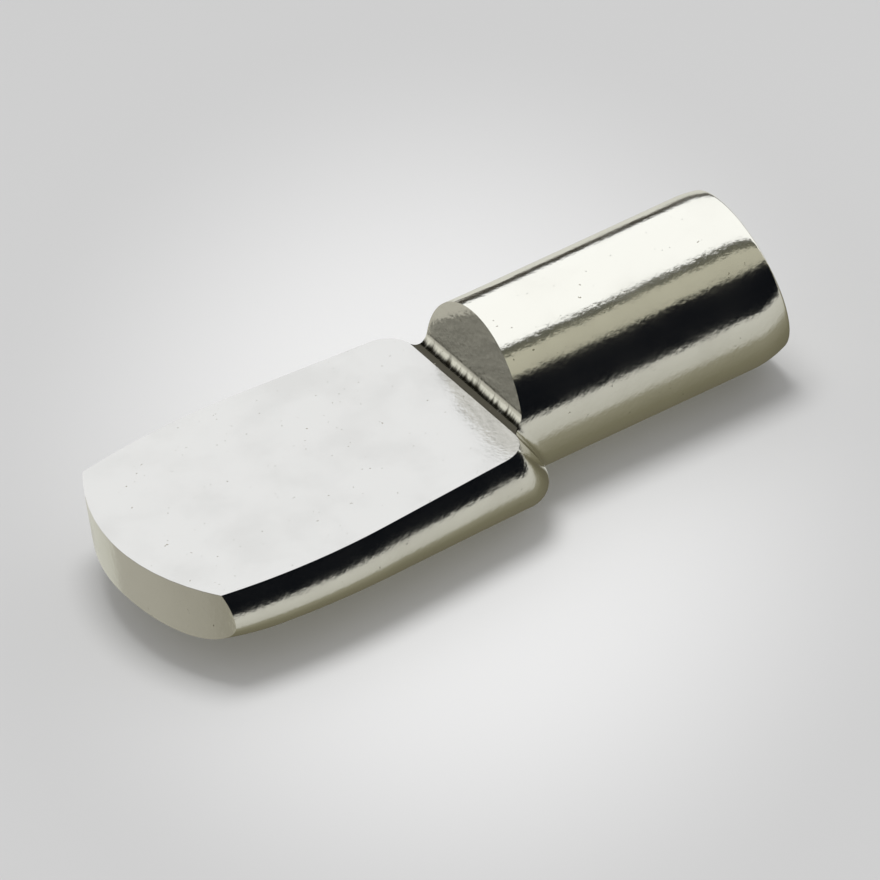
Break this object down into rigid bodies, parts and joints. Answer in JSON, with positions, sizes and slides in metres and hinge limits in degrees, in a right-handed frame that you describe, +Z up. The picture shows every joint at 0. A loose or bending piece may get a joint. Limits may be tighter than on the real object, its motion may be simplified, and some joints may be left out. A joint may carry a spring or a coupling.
{
  "type": "shelf support pin",
  "caption": "Concealed shelf support: a round pin for a cabinet side's hole, formed in one with a flat-topped spoon that carries the shelf.",
  "frame": {"origin": "on the pin's axis, where the pin comes clear of the spoon's neck and the face of the cabinet's side lies", "axes": "+X along the pin to its free end, +Z up out of the shelf face, +Y across the spoon"},
  "size_m": [0.0194, 0.0084, 0.0053],
  "materials": {
    "nickel_plate": "bright nickel plate on cold-formed steel, slightly pebbled"
  },
  "bodies": {
    "root": {"shelf_support": "nickel_plate"}
  },
  "joints": []
}
